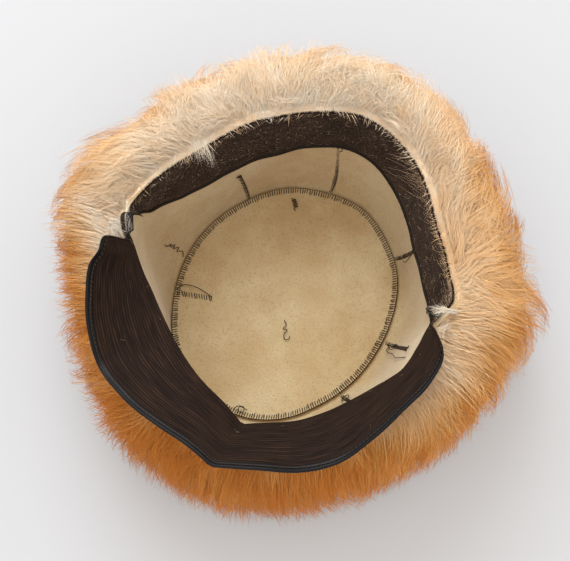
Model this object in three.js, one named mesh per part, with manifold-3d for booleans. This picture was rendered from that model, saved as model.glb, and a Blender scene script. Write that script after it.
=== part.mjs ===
// Long-haired shearling hat, lying on its crown with the head opening up.
// A top panel and a tapered side wall of tanned lambskin carry the pile outside. A ribbed
// sweatband is sewn to the rim: its far half is tucked inside, its near half is turned out over the
// pile, and its free edge is piped. Millimetres, +Z up, +Y towards the tucked side of the rim.
import * as THREE from "three";
import { ParametricGeometry } from "three/addons/geometries/ParametricGeometry.js";
import { mergeVertices } from "three/addons/utils/BufferGeometryUtils.js";
import Module from "manifold-3d";

const manifold = await Module();
manifold.setup();

// Driving dimensions
const HIDE = 2; // thickness of the tanned skin
const GAP = 0.3; // clearance between neighbouring pieces
const HEAD_DEPTH = 103; // from the rim down to the top panel
const CROWN_PILE = 21.7; // pile pressed flat under the top panel
const RIM_LEAN = { x: 7, y: -5 }; // how far the rim is drawn off the panel's centre
const WALL_BELLY = 0.45; // below 1 the wall spreads early and then rises steeply
const WALL_DENTS = { count: 5, start: 40, depth: 0.8 }; // soft hollows round the wall
const BAND_THICKNESS = 1.2;
const BAND_WIDTH = 42;
const BAND_SLACK = 0.2; // how far the band's sewn edge stands off the wall, besides the gap
const PIPING_RADIUS = 1.3;
const PILE_BACKING = 16; // how far the dense pile stays inside the tips of the locks
const CREST_RISE = 6; // pile above the rim, beside the tucked half of the band
const CREST_PRESSED = -2; // pile under the half that is turned out

const PANEL_UNDERSIDE = CROWN_PILE + GAP;
const PANEL_TOP = PANEL_UNDERSIDE + HIDE;
const RIM_HEIGHT = PANEL_TOP + HEAD_DEPTH;
const SEAM_ALLOWANCE = GAP + BAND_SLACK + BAND_THICKNESS / 2; // from the sewn line to the wall

// The top panel's seam, about the panel's centre: drawn out at 50 degrees, pulled in at 320
const PANEL = [
  { at: 0, seam: 71.5 }, { at: 15, seam: 75.5 }, { at: 33, seam: 79 }, { at: 52, seam: 82.5 },
  { at: 72, seam: 80.5 }, { at: 90, seam: 79 }, { at: 110, seam: 75 }, { at: 135, seam: 72.5 },
  { at: 160, seam: 71.5 }, { at: 180, seam: 72.5 }, { at: 200, seam: 76 }, { at: 222, seam: 78.5 },
  { at: 248, seam: 78.5 }, { at: 268, seam: 75 }, { at: 288, seam: 69.5 }, { at: 308, seam: 67 },
  { at: 330, seam: 66.5 }, { at: 347, seam: 68.5 },
];

// The rim as the band's sewn line runs, about the rim's own centre. Corners at 66, 160, 252 and
// 348 degrees, and a straight pulled stretch from 180 to 245 where the band is turned out.
const RIM = [
  { at: 0, sewn: 88.5 }, { at: 20, sewn: 87 }, { at: 40, sewn: 95 }, { at: 54, sewn: 100.5 },
  { at: 68, sewn: 103 }, { at: 82, sewn: 99 }, { at: 95, sewn: 96 }, { at: 108, sewn: 95 },
  { at: 120, sewn: 93.5 }, { at: 131, sewn: 94.5 }, { at: 143, sewn: 99 }, { at: 152, sewn: 103 },
  { at: 160, sewn: 105.5 }, { at: 166, sewn: 102 }, { at: 173, sewn: 95.5 }, { at: 181, sewn: 90 },
  { at: 190, sewn: 85 }, { at: 203, sewn: 82.3 }, { at: 217, sewn: 83 }, { at: 229, sewn: 85.5 },
  { at: 241, sewn: 89 }, { at: 251, sewn: 95 }, { at: 260, sewn: 92.5 }, { at: 270, sewn: 89.5 },
  { at: 281, sewn: 86 }, { at: 292, sewn: 83.5 }, { at: 303, sewn: 83 }, { at: 314, sewn: 85 },
  { at: 325, sewn: 84 }, { at: 335, sewn: 83.5 }, { at: 342, sewn: 88 }, { at: 349, sewn: 92.5 },
];

// How the band stands at each place of the rim. turn: 0 straight out, 90 up, 180 in, 270 down.
// bend: how much flatter it lies at its free edge than at the rim. swing: degrees off square.
// reach: share of the band's width that isn't lost in crumples.
// Two short crumpled stretches, near 166 and 343 degrees, carry it from one side to the other.
const BAND = [
  { at: 0, turn: 256, bend: -6, swing: 8, reach: 1 },
  { at: 20, turn: 256, bend: -6, swing: 6, reach: 1 },
  { at: 43, turn: 256, bend: -8, swing: 0, reach: 1 },
  { at: 57, turn: 259, bend: -10, swing: 0, reach: 1 },
  { at: 70, turn: 261, bend: -10, swing: 0, reach: 1 },
  { at: 85, turn: 262, bend: -8, swing: 0, reach: 1 },
  { at: 100, turn: 259, bend: -8, swing: 0, reach: 1 },
  { at: 125, turn: 260, bend: -8, swing: 0, reach: 1 },
  { at: 148, turn: 261, bend: -8, swing: 0, reach: 1 },
  { at: 157, turn: 258, bend: -10, swing: 0, reach: 1 },
  { at: 160, turn: 254, bend: -10, swing: 0, reach: 0.92 },
  { at: 162, turn: 235, bend: -4, swing: 0, reach: 0.5 },
  { at: 163.5, turn: 190, bend: 0, swing: 0, reach: 0.2 },
  { at: 165.5, turn: 165, bend: 0, swing: 0, reach: 0.16 },
  { at: 167.5, turn: 140, bend: 0, swing: 4, reach: 0.18 },
  { at: 169.5, turn: 105, bend: 8, swing: 18, reach: 0.4 },
  { at: 171.5, turn: 80, bend: 8, swing: 40, reach: 0.82 },
  { at: 174, turn: 70, bend: 11, swing: 32, reach: 0.98 },
  { at: 176.5, turn: 65, bend: 14, swing: 21, reach: 1 },
  { at: 181, turn: 52, bend: 18, swing: 9, reach: 1 },
  { at: 190, turn: 34, bend: 14, swing: 2, reach: 1 },
  { at: 199, turn: 18, bend: 10, swing: -3, reach: 1.02 },
  { at: 210, turn: 8, bend: 8, swing: -8, reach: 1.05 },
  { at: 221, turn: 18, bend: 12, swing: -10, reach: 1.02 },
  { at: 234, turn: 32, bend: 16, swing: -12, reach: 1 },
  { at: 247, turn: 42, bend: 20, swing: -12, reach: 1 },
  { at: 262, turn: 44, bend: 24, swing: -6, reach: 1 },
  { at: 280, turn: 39, bend: 28, swing: -5, reach: 1 },
  { at: 293, turn: 48, bend: 36, swing: -6, reach: 1 },
  { at: 305, turn: 58, bend: 44, swing: -8, reach: 1 },
  { at: 316, turn: 66, bend: 50, swing: -12, reach: 1 },
  { at: 327, turn: 73, bend: 46, swing: -24, reach: 1 },
  { at: 333, turn: 78, bend: 30, swing: -42, reach: 0.95 },
  { at: 336.5, turn: 83, bend: 16, swing: -40, reach: 0.7 },
  { at: 339, turn: 96, bend: 8, swing: -20, reach: 0.36 },
  { at: 341, turn: 130, bend: 0, swing: -4, reach: 0.17 },
  { at: 343, turn: 190, bend: 0, swing: 0, reach: 0.15 },
  { at: 345.5, turn: 248, bend: -8, swing: 3, reach: 0.7 },
  { at: 348, turn: 256, bend: -8, swing: 6, reach: 1 },
];

// Where the tips of the outer locks end, about the panel's centre, and how the pile's crest stands
// beside the rim: 1 free and raised, 0 pressed down by the turned-out band.
const PILE = [
  { at: 0, tips: 152, crest: 1 }, { at: 15, tips: 148, crest: 1 }, { at: 30, tips: 148, crest: 1 },
  { at: 45, tips: 154, crest: 1 }, { at: 60, tips: 153, crest: 1 }, { at: 75, tips: 150, crest: 1 },
  { at: 90, tips: 149, crest: 1 }, { at: 105, tips: 144, crest: 1 }, { at: 120, tips: 142.5, crest: 1 },
  { at: 135, tips: 143, crest: 1 }, { at: 149, tips: 151, crest: 0.9 }, { at: 161, tips: 149, crest: 0 },
  { at: 178, tips: 138, crest: 0 }, { at: 195, tips: 134.5, crest: 0 }, { at: 210, tips: 136, crest: 0 },
  { at: 225, tips: 139, crest: 0 }, { at: 240, tips: 138.5, crest: 0 }, { at: 255, tips: 138.5, crest: 0 },
  { at: 270, tips: 135.5, crest: 0 }, { at: 285, tips: 133, crest: 0 }, { at: 300, tips: 133.5, crest: 0 },
  { at: 315, tips: 138.5, crest: 0 }, { at: 332, tips: 143.5, crest: 0 }, { at: 343, tips: 151, crest: 0.1 },
  { at: 352, tips: 158, crest: 0.6 },
];

// The dense pile's outer form, from the rim over the shoulder and down. out: share of the way from
// the wall to the outline. crest: how much of the crest's rise it takes.
const PILE_PROFILE = [
  { out: 0.0, height: 125.6, crest: 0.2 },
  { out: 0.14, height: 126.6, crest: 0.8 },
  { out: 0.34, height: 126.6, crest: 1 },
  { out: 0.6, height: 120, crest: 0.8 },
  { out: 0.83, height: 106, crest: 0.4 },
  { out: 1.0, height: 83, crest: 0 },
  { out: 1.0, height: 58, crest: 0 },
  { out: 1.0, height: 36, crest: 0 },
  { out: 1.0, height: 19, crest: 0 },
  { out: 0.95, height: 8, crest: 0 },
];
const PILE_UNDERSIDE_INNER = 22.9; // height where the side pile's underside meets the wall

// Locks of the side pile, a row at a time. level: place on PILE_PROFILE, counted in rows.
// droop: degrees that a lock leans down from square to the surface. from, to: the stretch it fills.
const LOCK_ROWS = [
  { level: 1.9, count: 11, length: 30, width: 36, thick: 12, droop: 60, from: -12, to: 158 },
  { level: 2.95, count: 17, length: 36, width: 42, thick: 15, droop: 54, from: 0, to: 360 },
  { level: 4.1, count: 18, length: 36, width: 43, thick: 16, droop: 54, from: 8, to: 368 },
  { level: 5.2, count: 18, length: 34, width: 43, thick: 16, droop: 54, from: 0, to: 360 },
  { level: 6.3, count: 17, length: 32, width: 42, thick: 15, droop: 46, from: 8, to: 368 },
  { level: 7.45, count: 16, length: 15, width: 40, thick: 12, droop: 8, from: 0, to: 360 },
];
const LOCK_SPREAD = 0.22; // how much a lock's length and lean vary
const LOCK_SHIFT = 0.4; // how far a lock may stand off its even place, in pitches
const LOCK_LEAN = { root: 0.7, tip: 1.3 }; // a lock leans more at its tip, in shares of its droop

// Pressed pile of the top panel: its section from the underside's centre out to its lip. On top it
// slopes back to the panel's seam.
const CROWN_SECTION = [
  { radius: 0, height: 0 },
  { radius: 97, height: 0 },
  { radius: 107, height: 1.2 },
  { radius: 113, height: 5.2 },
];
const CROWN_LEDGE = 1; // flat stretch of that pile outside the seam
const HEM_LOCKS = { count: 18, radius: 110, height: 3, length: 24, width: 36, thick: 4.4, droop: 3 };

const STEPS = 60; // places round the wall and the pile
const WALL_LEVELS = [0, 0.12, 0.45, 1];
const BAND_SPANS = 3; // straight stretches across the band
const LOCK_SIDES = 4;
const PIPING_SIDES = 5;

const MATERIALS = {
  hide: new THREE.MeshStandardMaterial({ color: "#c9ab78", roughness: 0.85, metalness: 0 }),
  pile: new THREE.MeshStandardMaterial({ color: "#e3b884", roughness: 0.95, metalness: 0 }),
  band: new THREE.MeshStandardMaterial({ color: "#2d211b", roughness: 0.8, metalness: 0 }),
  piping: new THREE.MeshStandardMaterial({ color: "#16151a", roughness: 0.35, metalness: 0 }),
};

const radians = THREE.MathUtils.degToRad;
const lerp = THREE.MathUtils.lerp;
const wrap = (angle) => THREE.MathUtils.euclideanModulo(angle, 360);
const fullCircle = Array.from({ length: STEPS }, (_, i) => (i * 360) / STEPS);

// A steady number from 0 to 1 for each seed
function scatter(seed) {
  return THREE.MathUtils.euclideanModulo(Math.sin(seed * 12.9898) * 43758.5453, 1);
}

// A table's column at any angle, on one smooth closed curve through its rows
function around(table, column, angle) {
  const a = wrap(angle);
  const next = table.findIndex((row) => row.at > a);
  const end = next < 0 ? table.length : next;
  const row = (i) => table[(i + table.length) % table.length];
  const at = (i) => row(i).at + 360 * Math.floor(i / table.length);
  const [p, q, r, s] = [end - 2, end - 1, end, end + 1];
  const span = at(r) - at(q);
  const t = (a - at(q)) / span;
  const slopeIn = ((row(r)[column] - row(p)[column]) / (at(r) - at(p))) * span;
  const slopeOut = ((row(s)[column] - row(q)[column]) / (at(s) - at(q))) * span;
  const [t2, t3] = [t * t, t * t * t];
  return (
    (2 * t3 - 3 * t2 + 1) * row(q)[column] +
    (t3 - 2 * t2 + t) * slopeIn +
    (3 * t2 - 2 * t3) * row(r)[column] +
    (t3 - t2) * slopeOut
  );
}

// Closed surface as one solid: shared corners merged, flat triangles dropped, faces outwards
function closed(surface) {
  surface.deleteAttribute("normal");
  surface.deleteAttribute("uv");
  const merged = mergeVertices(surface);
  const place = merged.getAttribute("position");
  const corner = (i) => new THREE.Vector3().fromBufferAttribute(place, i);
  const faces = [];
  let volume = 0;
  for (let i = 0; i < merged.index.count; i += 3) {
    const [a, b, c] = [0, 1, 2].map((k) => merged.index.getX(i + k));
    if (a === b || b === c || c === a) continue;
    faces.push([a, b, c]);
    volume += corner(a).dot(corner(b).cross(corner(c)));
  }
  merged.setIndex(faces.flatMap(([a, b, c]) => (volume < 0 ? [a, c, b] : [a, b, c])));
  return merged;
}

// A solid ring from one closed section at each station
function ring(sections) {
  const turns = sections.length;
  const points = sections[0].length;
  const surface = (u, v, target) =>
    target.copy(sections[Math.round(u * turns) % turns][Math.round(v * points) % points]);
  return closed(new ParametricGeometry(surface, turns, points));
}

// A solid without a hole: each section starts and ends on the same two points
function turned(sections) {
  const turns = sections.length;
  const last = sections[0].length - 1;
  const surface = (u, v, target) =>
    target.copy(sections[Math.round(u * turns) % turns][Math.round(v * last)]);
  return closed(new ParametricGeometry(surface, turns, last));
}

function toSolid(geometry) {
  return new manifold.Manifold(
    new manifold.Mesh({
      numProp: 3,
      vertProperties: geometry.getAttribute("position").array,
      triVerts: Uint32Array.from(geometry.index.array),
    }),
  );
}

function toGeometry(solid) {
  const mesh = solid.getMesh();
  const geometry = new THREE.BufferGeometry();
  geometry.setAttribute("position", new THREE.BufferAttribute(mesh.vertProperties, 3));
  geometry.setIndex(new THREE.BufferAttribute(mesh.triVerts, 1));
  return geometry;
}

// Wall: from the seam round the top panel to the rim, its section shifting with the lean
function wallPoint(angle, level, offset) {
  const share = level ** WALL_BELLY;
  const rim = around(RIM, "sewn", angle) + SEAM_ALLOWANCE;
  const wave = Math.sin(radians(WALL_DENTS.count * angle + WALL_DENTS.start));
  const dent = WALL_DENTS.depth * wave * Math.sin(Math.PI * level);
  const radius = lerp(around(PANEL, "seam", angle) + GAP, rim, share) + dent + offset;
  return new THREE.Vector3(
    RIM_LEAN.x * share + radius * Math.cos(radians(angle)),
    RIM_LEAN.y * share + radius * Math.sin(radians(angle)),
    lerp(PANEL_UNDERSIDE, RIM_HEIGHT, level),
  );
}

function wallSection(angle) {
  const inside = WALL_LEVELS.map((level) => wallPoint(angle, level, 0));
  const outside = WALL_LEVELS.map((level) => wallPoint(angle, level, HIDE));
  return [...inside, ...outside.reverse()];
}

// A point round the crown's axis
function crownPoint(angle, radius, height) {
  return new THREE.Vector3(
    radius * Math.cos(radians(angle)), radius * Math.sin(radians(angle)), height,
  );
}

// Top panel: a flat disc of skin, pressed on the pile that it carries
function panelSection(angle) {
  const seam = around(PANEL, "seam", angle);
  return [
    crownPoint(angle, 0, PANEL_UNDERSIDE),
    crownPoint(angle, seam, PANEL_UNDERSIDE),
    crownPoint(angle, seam, PANEL_TOP),
    crownPoint(angle, 0, PANEL_TOP),
  ];
}

// The side pile's surface at a level of PILE_PROFILE, which may lie between two rows
function pilePoint(angle, level) {
  const low = Math.min(Math.floor(level), PILE_PROFILE.length - 2);
  const mix = (column) =>
    lerp(PILE_PROFILE[low][column], PILE_PROFILE[low + 1][column], level - low);
  const crest = lerp(CREST_PRESSED, CREST_RISE, around(PILE, "crest", angle));
  const height = mix("height") + crest * mix("crest");
  const wallLevel = THREE.MathUtils.clamp(
    (height - PANEL_UNDERSIDE) / (RIM_HEIGHT - PANEL_UNDERSIDE), 0, 1,
  );
  const radius = around(PILE, "tips", angle) - PILE_BACKING;
  const outline = crownPoint(angle, radius, height);
  return wallPoint(angle, wallLevel, HIDE + GAP).lerp(outline, mix("out")).setZ(height);
}

// The pile's backing, closed under the locks; it starts a little outside the wall's foot
function pileSection(angle) {
  const outside = PILE_PROFILE.map((_, level) => pilePoint(angle, level));
  const underside = wallPoint(angle, 0, HIDE + 3 * GAP).setZ(PILE_UNDERSIDE_INNER);
  const wallSide = WALL_LEVELS.slice(1, -1).map((level) => wallPoint(angle, level, HIDE + GAP));
  return [...wallSide.reverse(), underside, ...outside.reverse()];
}

// One pointed lock. Its root is buried in the backing and its tip leans over.
function lock({ root, out, down, across, length, width, thick, droop }) {
  const stages = [
    { along: -0.3, size: 0 },
    { along: 0, size: 1 },
    { along: 0.55, size: 0.66 },
    { along: 1, size: 0 },
  ];
  const reach = (along) => {
    const lean = radians(droop * lerp(LOCK_LEAN.root, LOCK_LEAN.tip, Math.max(along, 0)));
    return root
      .clone()
      .addScaledVector(out, length * along * Math.cos(lean))
      .addScaledVector(down, length * along * Math.sin(lean));
  };
  const depth = reach(1).sub(root).cross(across).normalize();
  const surface = (u, v, target) => {
    const stage = stages[Math.round(v * (stages.length - 1))];
    const turn = 2 * Math.PI * u;
    target
      .copy(reach(stage.along))
      .addScaledVector(across, (stage.size * width * Math.cos(turn)) / 2)
      .addScaledVector(depth, (stage.size * thick * Math.sin(turn)) / 2);
  };
  return closed(new ParametricGeometry(surface, LOCK_SIDES, stages.length - 1));
}

function sideLock(row, rowNumber, i) {
  const seed = rowNumber * 100 + i;
  const pitch = (row.to - row.from) / row.count;
  const angle = row.from + pitch * (i + 0.5 + LOCK_SHIFT * (scatter(seed) - 0.5));
  const root = pilePoint(angle, row.level);
  const across = pilePoint(angle + 1, row.level).sub(root).normalize();
  const down = pilePoint(angle, row.level + 0.1).sub(root).normalize();
  const out = new THREE.Vector3().crossVectors(down, across).normalize();
  const vary = 1 + LOCK_SPREAD * (scatter(seed + 0.5) - 0.5);
  return lock({ ...row, root, out, down, across, length: row.length * vary, droop: row.droop * vary });
}

function hemLock(i) {
  const out = crownPoint(((i + LOCK_SHIFT * scatter(i)) * 360) / HEM_LOCKS.count, 1, 0);
  const root = out.clone().multiplyScalar(HEM_LOCKS.radius).setZ(HEM_LOCKS.height);
  const across = new THREE.Vector3(-out.y, out.x, 0);
  const down = new THREE.Vector3(0, 0, -1);
  const length = HEM_LOCKS.length * (1 + LOCK_SPREAD * (scatter(i + 0.5) - 0.5));
  return lock({ ...HEM_LOCKS, root, out, down, across, length });
}

function crownSection(angle) {
  return [
    ...CROWN_SECTION.map(({ radius, height }) => crownPoint(angle, radius, height)),
    crownPoint(angle, around(PANEL, "seam", angle) + CROWN_LEDGE, CROWN_PILE),
    crownPoint(angle, 0, CROWN_PILE),
  ];
}

// Places along the band: closer together where it crosses from inside to outside
function bandStations() {
  const crossings = [[156, 177], [331, 350]];
  const [close, wide] = [1.6, 5];
  const stations = [];
  for (let angle = 0; angle < 360; ) {
    stations.push(angle);
    angle += crossings.some(([from, to]) => angle >= from && angle < to) ? close : wide;
  }
  return stations;
}

// Middle line across the band at one place of the rim, with the direction it leaves each point
function bandLine(angle) {
  const sewn = around(RIM, "sewn", angle);
  const [turn, bend, swing, reach] = ["turn", "bend", "swing", "reach"].map((column) =>
    around(BAND, column, angle),
  );
  const outward = new THREE.Vector3(
    Math.cos(radians(angle + swing)), Math.sin(radians(angle + swing)), 0,
  );
  const point = new THREE.Vector3(
    RIM_LEAN.x + sewn * Math.cos(radians(angle)),
    RIM_LEAN.y + sewn * Math.sin(radians(angle)),
    RIM_HEIGHT + GAP + BAND_THICKNESS / 2,
  );
  const heading = (share) => {
    const slope = radians(turn + bend * (0.5 - share));
    return outward.clone().multiplyScalar(Math.cos(slope)).setZ(Math.sin(slope));
  };
  const line = [{ point: point.clone(), heading: heading(0) }];
  for (let span = 1; span <= BAND_SPANS; span += 1) {
    point.addScaledVector(heading((span - 0.5) / BAND_SPANS), (reach * BAND_WIDTH) / BAND_SPANS);
    line.push({ point: point.clone(), heading: heading(span / BAND_SPANS) });
  }
  const sideways = new THREE.Vector3(-outward.y, outward.x, 0);
  return { line, sideways };
}

function bandSection(angle) {
  const { line, sideways } = bandLine(angle);
  const face = (side) =>
    line.map(({ point, heading }) =>
      point.clone().addScaledVector(
        new THREE.Vector3().crossVectors(sideways, heading), (side * BAND_THICKNESS) / 2,
      ),
    );
  return [...face(1), ...face(-1).reverse()];
}

function pipingSection(angle, radius) {
  const { line, sideways } = bandLine(angle);
  const { point, heading } = line.at(-1);
  const centre = point.clone().addScaledVector(heading, GAP + PIPING_RADIUS);
  const side = new THREE.Vector3().crossVectors(sideways, heading);
  return Array.from({ length: PIPING_SIDES }, (_, i) => {
    const turn = (2 * Math.PI * i) / PIPING_SIDES;
    return centre
      .clone()
      .addScaledVector(heading, radius * Math.cos(turn))
      .addScaledVector(side, radius * Math.sin(turn));
  });
}

function topPanel() {
  return turned(fullCircle.map(panelSection));
}

function sideWall() {
  return ring(fullCircle.map(wallSection));
}

function topFur() {
  const locks = Array.from({ length: HEM_LOCKS.count }, (_, i) => hemLock(i));
  const backing = turned(fullCircle.map(crownSection));
  return toGeometry(manifold.Manifold.union([backing, ...locks].map(toSolid)));
}

function sideFur() {
  const locks = LOCK_ROWS.flatMap((row, n) =>
    Array.from({ length: row.count }, (_, i) => sideLock(row, n, i)),
  );
  const backing = ring(fullCircle.map(pileSection));
  return toGeometry(manifold.Manifold.union([backing, ...locks].map(toSolid)));
}

function bandPiping(radius) {
  return ring(bandStations().map((angle) => pipingSection(angle, radius)));
}

// The band is cut clear of the piping that closes its free edge
function sweatband() {
  const ribbon = toSolid(ring(bandStations().map(bandSection)));
  return toGeometry(ribbon.subtract(toSolid(bandPiping(PIPING_RADIUS + GAP))));
}

function piece(name, geometry, material) {
  const mesh = new THREE.Mesh(geometry, material);
  mesh.name = name;
  return mesh;
}

const hat = new THREE.Group();
hat.add(
  piece("top_panel", topPanel(), MATERIALS.hide),
  piece("side_wall", sideWall(), MATERIALS.hide),
  piece("top_fur", topFur(), MATERIALS.pile),
  piece("side_fur", sideFur(), MATERIALS.pile),
  piece("sweatband", sweatband(), MATERIALS.band),
  piece("band_piping", bandPiping(PIPING_RADIUS), MATERIALS.piping),
);

// The origin lies under the middle of the whole hat, on the surface it rests on
const middle = new THREE.Box3().setFromObject(hat).getCenter(new THREE.Vector3());
hat.position.set(-middle.x, -middle.y, 0);

export default hat;
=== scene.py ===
# Long-haired shearling hat lying on its crown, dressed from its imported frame. Metres, +Z up.
import math

import bmesh
import bpy
import numpy as np
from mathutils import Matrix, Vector


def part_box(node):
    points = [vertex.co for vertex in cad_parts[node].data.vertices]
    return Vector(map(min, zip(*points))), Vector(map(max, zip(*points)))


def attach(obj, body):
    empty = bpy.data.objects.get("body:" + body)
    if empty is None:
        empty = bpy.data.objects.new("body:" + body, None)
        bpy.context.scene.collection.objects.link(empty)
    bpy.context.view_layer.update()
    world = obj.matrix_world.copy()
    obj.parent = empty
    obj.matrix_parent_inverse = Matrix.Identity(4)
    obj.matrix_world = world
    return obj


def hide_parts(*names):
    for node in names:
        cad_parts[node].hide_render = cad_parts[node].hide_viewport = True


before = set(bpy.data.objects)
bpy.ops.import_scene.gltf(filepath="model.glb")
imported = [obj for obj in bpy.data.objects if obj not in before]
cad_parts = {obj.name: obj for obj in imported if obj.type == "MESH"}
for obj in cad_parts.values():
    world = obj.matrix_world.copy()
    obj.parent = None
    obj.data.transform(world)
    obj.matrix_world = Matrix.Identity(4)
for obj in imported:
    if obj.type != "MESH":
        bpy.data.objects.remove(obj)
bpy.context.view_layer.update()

# Top panel: the crown of the hat, one piece of lambskin with its bare flesh side up, at the bottom of
# the hollow. It is cut a little off round, drawn out at the far right and pulled in at the near right.
SEAM = np.array([
    (0, 0.0715), (15, 0.0755), (33, 0.079), (52, 0.0825), (72, 0.0805), (90, 0.079), (110, 0.075),
    (135, 0.0725), (160, 0.0715), (180, 0.0725), (200, 0.076), (222, 0.0785), (248, 0.0785),
    (268, 0.075), (288, 0.0695), (308, 0.067), (330, 0.0665), (347, 0.0685),
])
PANEL_RADIUS = 0.075
PANEL_SLACK = 0.0004
SEAM_RIDGE = 0.0008
SEAM_RIDGE_WIDTH = 0.0016
PANEL_RINGS = 26
PANEL_TURNS = 144
SMOOTH_UP_TO = math.radians(50)


def around(table, column, angle):
    """A table's column at any angle in degrees, on one smooth closed curve through its rows."""
    at, value = table[:, 0], table[:, column]
    turn = np.mod(np.asarray(angle, float), 360)
    after = np.searchsorted(at, turn, side="right")
    place = [at[(after + k) % len(at)] + 360 * ((after + k) // len(at)) for k in (-2, -1, 0, 1)]
    height = [value[(after + k) % len(at)] for k in (-2, -1, 0, 1)]
    span = place[2] - place[1]
    t = (turn - place[1]) / span
    slope_in = (height[2] - height[0]) / (place[2] - place[0]) * span
    slope_out = (height[3] - height[1]) / (place[3] - place[1]) * span
    rise = height[1] * (2 * t**3 - 3 * t**2 + 1) + height[2] * (3 * t**2 - 2 * t**3)
    return rise + slope_in * (t**3 - 2 * t**2 + t) + slope_out * (t**3 - t**2)


def about_crown(angle, radius, height):
    """Points at that angle, radius and height round the crown's axis."""
    angle, radius, height = np.broadcast_arrays(np.radians(angle), radius, height)
    return np.stack([radius * np.cos(angle), radius * np.sin(angle), height], -1) + crown_axis


def linear(code):
    """An sRGB colour, as #rrggbb, as the linear colour that a shader reads."""
    parts = [int(code[i : i + 2], 16) / 255 for i in (1, 3, 5)]
    return [p / 12.92 if p <= 0.04045 else ((p + 0.055) / 1.055) ** 2.4 for p in parts] + [1.0]


def add(tree, kind, inputs=None, **settings):
    """A node with its settings, and its inputs by name or number: values, or sockets to link."""
    made = tree.nodes.new(kind)
    for name, value in settings.items():
        setattr(made, name, value)
    for key, value in (inputs or {}).items():
        if isinstance(value, bpy.types.NodeSocket):
            tree.links.new(value, made.inputs[key])
        else:
            made.inputs[key].default_value = value
    return made


def new_material(name):
    """An empty material and its node tree."""
    made = bpy.data.materials.new(name)
    made.use_nodes = True
    made.node_tree.nodes.clear()
    return made, made.node_tree


def laid_out(name, grid, wraps, materials, flat=(1.0, 1.0), marks=None, faced=None):
    """A closed piece from points that go round the hat in rows and along a section in columns.
    flat is the piece's size when laid flat, for its UV map. marks are values held by its points."""
    turns, count = grid.shape[:2]
    spans = count if wraps else count - 1
    i, j = np.meshgrid(np.arange(turns), np.arange(spans), indexing="ij")
    here, beyond, step = i * count, (i + 1) % turns * count, (j + 1) % count
    quads = np.stack([here + j, beyond + j, beyond + step, here + step], -1).reshape(-1, 4)
    mesh = bpy.data.meshes.new(name)
    mesh.from_pydata(grid.reshape(-1, 3).tolist(), [], quads.tolist())
    u = np.stack([i, i + 1, i + 1, i], -1) * flat[0] / turns
    v = np.stack([j, j, j + 1, j + 1], -1) * flat[1] / spans
    mesh.uv_layers.new(name="UVMap").data.foreach_set("uv", np.stack([u, v], -1).ravel())
    for key, values in (marks or {}).items():
        mesh.attributes.new(key, "FLOAT", "POINT").data.foreach_set("value", values.ravel())
    for material in materials:
        mesh.materials.append(material)
    if faced is not None:
        mesh.polygons.foreach_set("material_index", np.tile(faced, turns))
    edit = bmesh.new()
    edit.from_mesh(mesh)
    bmesh.ops.remove_doubles(edit, verts=edit.verts, dist=1e-6)
    bmesh.ops.recalc_face_normals(edit, faces=edit.faces)
    edit.to_mesh(mesh)
    edit.free()
    mesh.shade_smooth()
    mesh.set_sharp_from_angle(angle=SMOOTH_UP_TO)
    return shown(name, mesh)


def shown(name, mesh):
    """An object at the origin that shows a mesh."""
    piece = bpy.data.objects.new(name, mesh)
    bpy.context.scene.collection.objects.link(piece)
    return piece


def belongs(piece, slot, *nodes):
    """The piece rides with the hat and stands for some CAD nodes. Its slot is not used."""
    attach(piece, "root")
    if nodes:
        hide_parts(*nodes)


def flesh_side():
    """Lambskin, chrome tanned and left bare on its flesh side: matt, velvety cream buff with darker
    clouds, rusty dye stains, short dark pores and a fine nap. Pores are drawn 1 mm wide to show."""
    made, tree = new_material("lambskin flesh side")
    place = add(tree, "ShaderNodeTexCoord").outputs["Object"]
    clouds = add(tree, "ShaderNodeTexNoise", {
        "Vector": place, "Scale": 26.0, "Detail": 4.0, "Roughness": 0.6,
    })
    cloud_share = add(tree, "ShaderNodeMapRange", {"Value": clouds.outputs[0], 1: 0.36, 2: 0.68})
    ground = add(tree, "ShaderNodeMix", {
        0: cloud_share.outputs[0], 6: linear("#BAA883"), 7: linear("#AA9167"),
    }, data_type="RGBA")
    stains = add(tree, "ShaderNodeTexNoise", {
        "Vector": place, "Scale": 17.0, "Detail": 5.0, "Roughness": 0.55, "Distortion": 1.2,
    })
    stain_share = add(tree, "ShaderNodeMapRange", {"Value": stains.outputs[0], 1: 0.56, 2: 0.78, 4: 0.5})
    stained = add(tree, "ShaderNodeMix", {
        0: stain_share.outputs[0], 6: ground.outputs[2], 7: linear("#A37C4C"),
    }, data_type="RGBA")
    pores = add(tree, "ShaderNodeTexNoise", {
        "Vector": place, "Scale": 850.0, "Detail": 2.0, "Roughness": 0.7,
    })
    pore_share = add(tree, "ShaderNodeMapRange", {"Value": pores.outputs[0], 1: 0.52, 2: 0.75, 4: 0.6})
    pored = add(tree, "ShaderNodeMix", {
        0: pore_share.outputs[0], 6: stained.outputs[2], 7: linear("#7F6240"),
    }, data_type="RGBA")
    nap = add(tree, "ShaderNodeTexNoise", {
        "Vector": place, "Scale": 380.0, "Detail": 6.0, "Roughness": 0.75,
    })
    bump = add(tree, "ShaderNodeBump", {"Height": nap.outputs[0], "Strength": 0.6, "Distance": 0.0008})
    skin = add(tree, "ShaderNodeBsdfPrincipled", {
        "Base Color": pored.outputs[2], "Roughness": 0.9, "Specular IOR Level": 0.2, "Sheen Weight": 0.25,
        "Sheen Roughness": 0.6, "Normal": bump.outputs[0],
    })
    add(tree, "ShaderNodeOutputMaterial", {"Surface": skin.outputs[0]})
    return made


low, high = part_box("top_panel")
stations = np.arange(0, 360, 6)
crown_axis = np.zeros(3)
outline = about_crown(stations, around(SEAM, 1, stations), 0)
crown_axis = np.array([low.x - outline[:, 0].min(), low.y - outline[:, 1].min(), 0])
panel_top = high.z
hide = flesh_side()


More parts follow.
